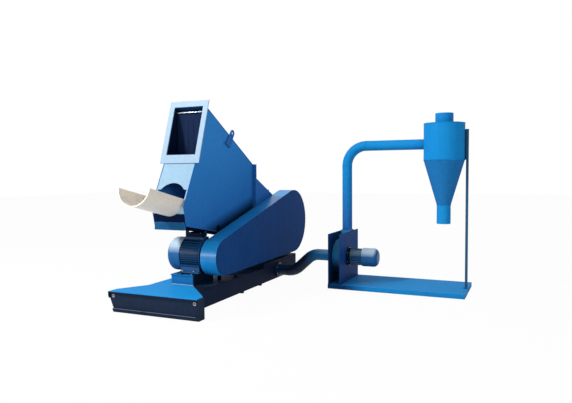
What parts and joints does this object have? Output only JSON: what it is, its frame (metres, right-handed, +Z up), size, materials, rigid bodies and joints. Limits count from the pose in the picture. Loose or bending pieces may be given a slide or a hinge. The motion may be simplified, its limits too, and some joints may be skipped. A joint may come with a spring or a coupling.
{
  "type": "plastic granulator with suction fan and cyclone",
  "caption": "Belt-driven plastic granulator on a steel base, with a sloping feed hopper and trough, a suction fan stand and a cyclone.",
  "frame": {"origin": "on the floor, under the middle of the front beam of the machine's base frame", "axes": "+Z up; +Y from the front beam back along the rails towards the cutting chamber; +X to the right, towards the suction fan stand"},
  "size_m": [3.54, 3.5495, 2.3504],
  "materials": {
    "azure_paint": "satin",
    "blue_paint": "satin",
    "navy_paint": "satin",
    "pale_blue_paint": "satin",
    "motor_paint": "satin",
    "steel": "brushed",
    "bare_sheet": "matt",
    "rubber": "matt"
  },
  "bodies": {
    "base": {"front_beam": "navy_paint", "left_rail": "navy_paint", "right_rail": "navy_paint", "cross_members": "navy_paint", "levelling_pads": "navy_paint", "deck_plate": "azure_paint", "sole_plate": "navy_paint", "motor_pedestal": "azure_paint", "motor_slide_rails": "navy_paint", "motor_frame": "motor_paint", "motor_end_shields": "motor_paint", "motor_fan_cowl": "motor_paint", "motor_terminal_box": "motor_paint", "v_belts": "rubber", "guard_back_plate": "azure_paint", "guard_rim": "azure_paint", "guard_cover": "blue_paint", "guard_brackets": "navy_paint", "bearing_housings": "blue_paint", "rotor_bearings": "steel", "bed_knives": "steel", "left_side_plate": "blue_paint", "right_side_plate": "blue_paint", "front_knife_beam": "blue_paint", "rear_knife_beam": "blue_paint", "chamber_flange": "blue_paint", "hinge_pins": "steel", "screen": "steel", "screen_cradle": "blue_paint", "discharge_pan": "blue_paint", "hopper_shell": "blue_paint", "hopper_flange": "blue_paint", "flange_bolts": "steel", "inlet_frame": "pale_blue_paint", "curtain_rod": "steel", "lifting_lugs": "blue_paint", "feed_trough": "bare_sheet", "hopper_legs": "navy_paint", "suction_pipe": "azure_paint", "stand_base": "azure_paint", "fan_inlet_plate": "navy_paint", "fan_motor_plate": "navy_paint", "fan_scroll": "azure_paint", "fan_motor": "motor_paint", "fan_motor_cowl": "motor_paint", "conveying_pipe": "azure_paint", "cyclone_body": "azure_paint", "cyclone_post": "azure_paint"},
    "rotor": {"rotor_shaft": "steel", "rotor_body": "steel", "rotor_knives": "steel", "rotor_knife_bolts": "steel", "rotor_pulley": "steel"},
    "motor_armature": {"motor_shaft": "steel", "motor_cooling_fan": "steel", "motor_pulley": "steel"},
    "fan_rotor": {"fan_wheel": "steel"},
    "curtain": {"feed_curtain": "rubber"},
    "cover": {"chamber_cover": "blue_paint"},
    "door": {"rear_door": "blue_paint"}
  },
  "joints": [
    {"name": "rotor_spin", "type": "hinge", "parent": "base", "child": "rotor", "pos_m": [0, 2.745, 0.8], "axis": [1, 0, 0], "continuous": true},
    {"name": "motor_spin", "type": "hinge", "parent": "base", "child": "motor_armature", "pos_m": [0.1, 0.73, 0.56], "axis": [1, 0, 0], "continuous": true},
    {"name": "fan_spin", "type": "hinge", "parent": "base", "child": "fan_rotor", "pos_m": [1.3305, 2.365, 0.378], "axis": [1, 0, 0], "continuous": true},
    {"name": "curtain_swing", "type": "hinge", "parent": "base", "child": "curtain", "pos_m": [0, 0.74476, 2.215], "axis": [1, 0, 0], "range_deg": [-18, 45]},
    {"name": "cover_hinge", "type": "hinge", "parent": "base", "child": "cover", "pos_m": [0, 3.02776, 0.93839], "axis": [-1, 0, 0], "range_deg": [0, 100]},
    {"name": "door_hinge", "type": "hinge", "parent": "base", "child": "door", "pos_m": [-0.2514, 3.03, 0.519], "axis": [0, 0, 1], "range_deg": [0, 110]}
  ],
  "couplings": [
    {"joint": "motor_spin", "follows": "rotor_spin", "ratio": 3}
  ]
}
